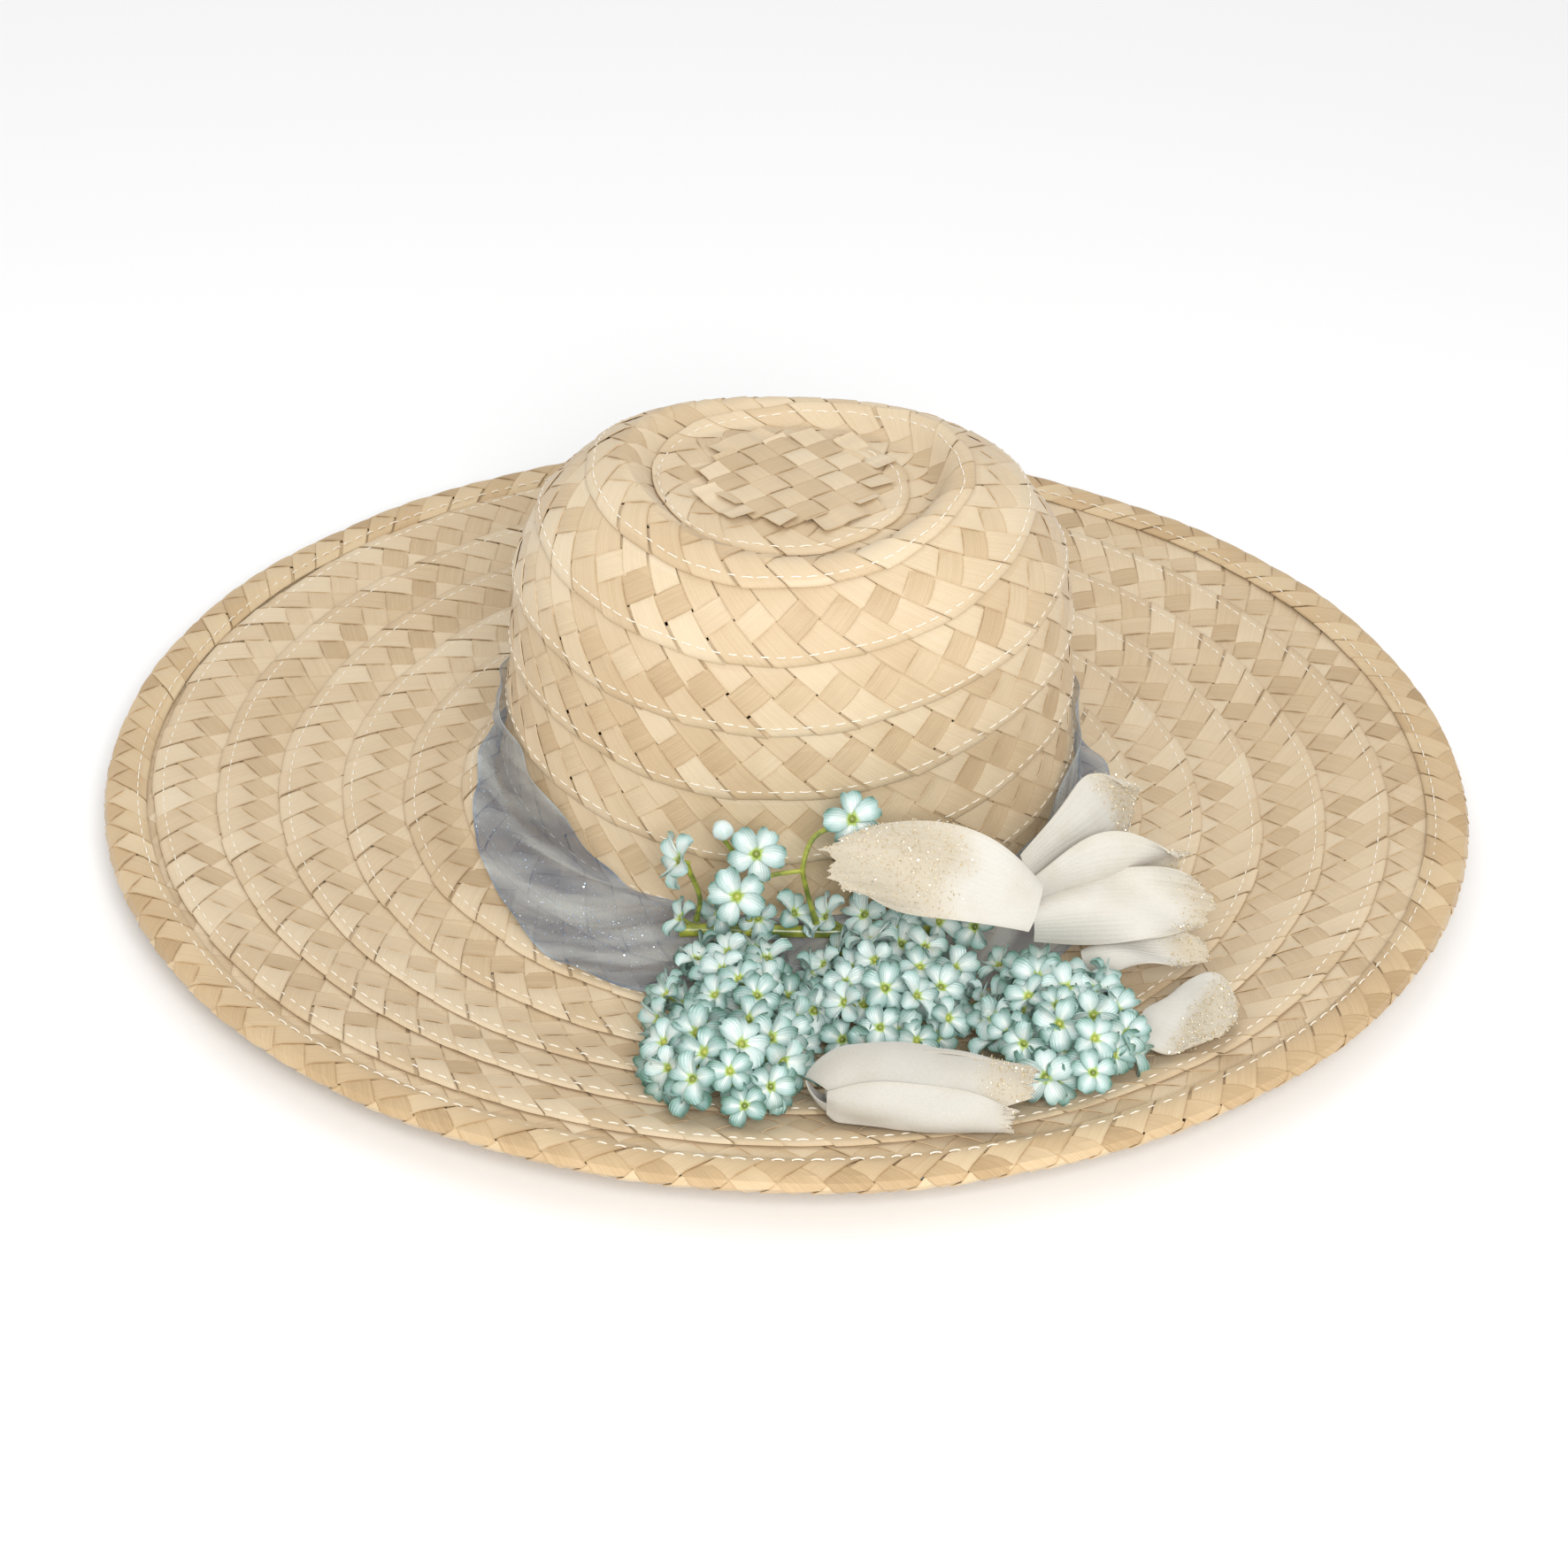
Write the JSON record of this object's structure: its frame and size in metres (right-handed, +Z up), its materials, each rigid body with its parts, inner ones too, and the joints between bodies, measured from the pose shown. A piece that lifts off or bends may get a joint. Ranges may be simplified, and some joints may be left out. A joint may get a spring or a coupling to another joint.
{
  "type": "sun hat",
  "caption": "Wide-brimmed sun hat of sewn palm-leaf braid with an oval, dented crown, a wired rim, a sheer band and a spray of fabric flowers.",
  "frame": {"origin": "middle of the hat on the surface that the lowest ring of its brim rests on", "axes": "+Z up through the crown; -Y towards the front, where the flowers are; +X towards the wearer's left"},
  "size_m": [0.5, 0.5, 0.1437],
  "materials": {
    "straw": "plaited dried palm leaf, satin",
    "straw_binding": "folded palm-leaf braid, satin",
    "rim_wire_steel": "bare spring wire",
    "organza": "sheer organza with a glitter edge",
    "blossom_satin": "pressed satin",
    "stem_wrap": "wrapped and dyed wire",
    "petal_cloth": "matt cloth, glittered tips"
  },
  "bodies": {
    "root": {"crown_tip_button": "straw", "crown_turn_1": "straw", "crown_turn_2": "straw", "crown_turn_3": "straw", "crown_turn_4": "straw", "crown_turn_5": "straw", "crown_turn_6": "straw", "crown_turn_7": "straw", "brim_turn_1": "straw", "brim_turn_2": "straw", "brim_turn_3": "straw", "brim_turn_4": "straw", "brim_turn_5": "straw", "brim_turn_6": "straw", "brim_turn_7": "straw", "rim_binding": "straw_binding", "rim_wire": "rim_wire_steel", "organza_band": "organza", "spray_stem": "stem_wrap", "blossom_cluster_left": "blossom_satin", "blossom_cluster_middle": "blossom_satin", "blossom_cluster_right": "blossom_satin", "sprig_bud": "blossom_satin", "sprig_side_blossom": "blossom_satin", "sprig_back_blossom": "blossom_satin", "sprig_front_blossom": "blossom_satin", "sprig_top_blossom": "blossom_satin", "sprig_side_stem": "stem_wrap", "sprig_back_stem": "stem_wrap", "sprig_front_stem": "stem_wrap", "sprig_top_stem": "stem_wrap", "petal_left": "petal_cloth", "petal_upper": "petal_cloth", "petal_right_upper": "petal_cloth", "petal_right_lower": "petal_cloth", "petal_right_foot": "petal_cloth", "petal_low": "petal_cloth", "rose_bud": "petal_cloth"}
  },
  "joints": []
}
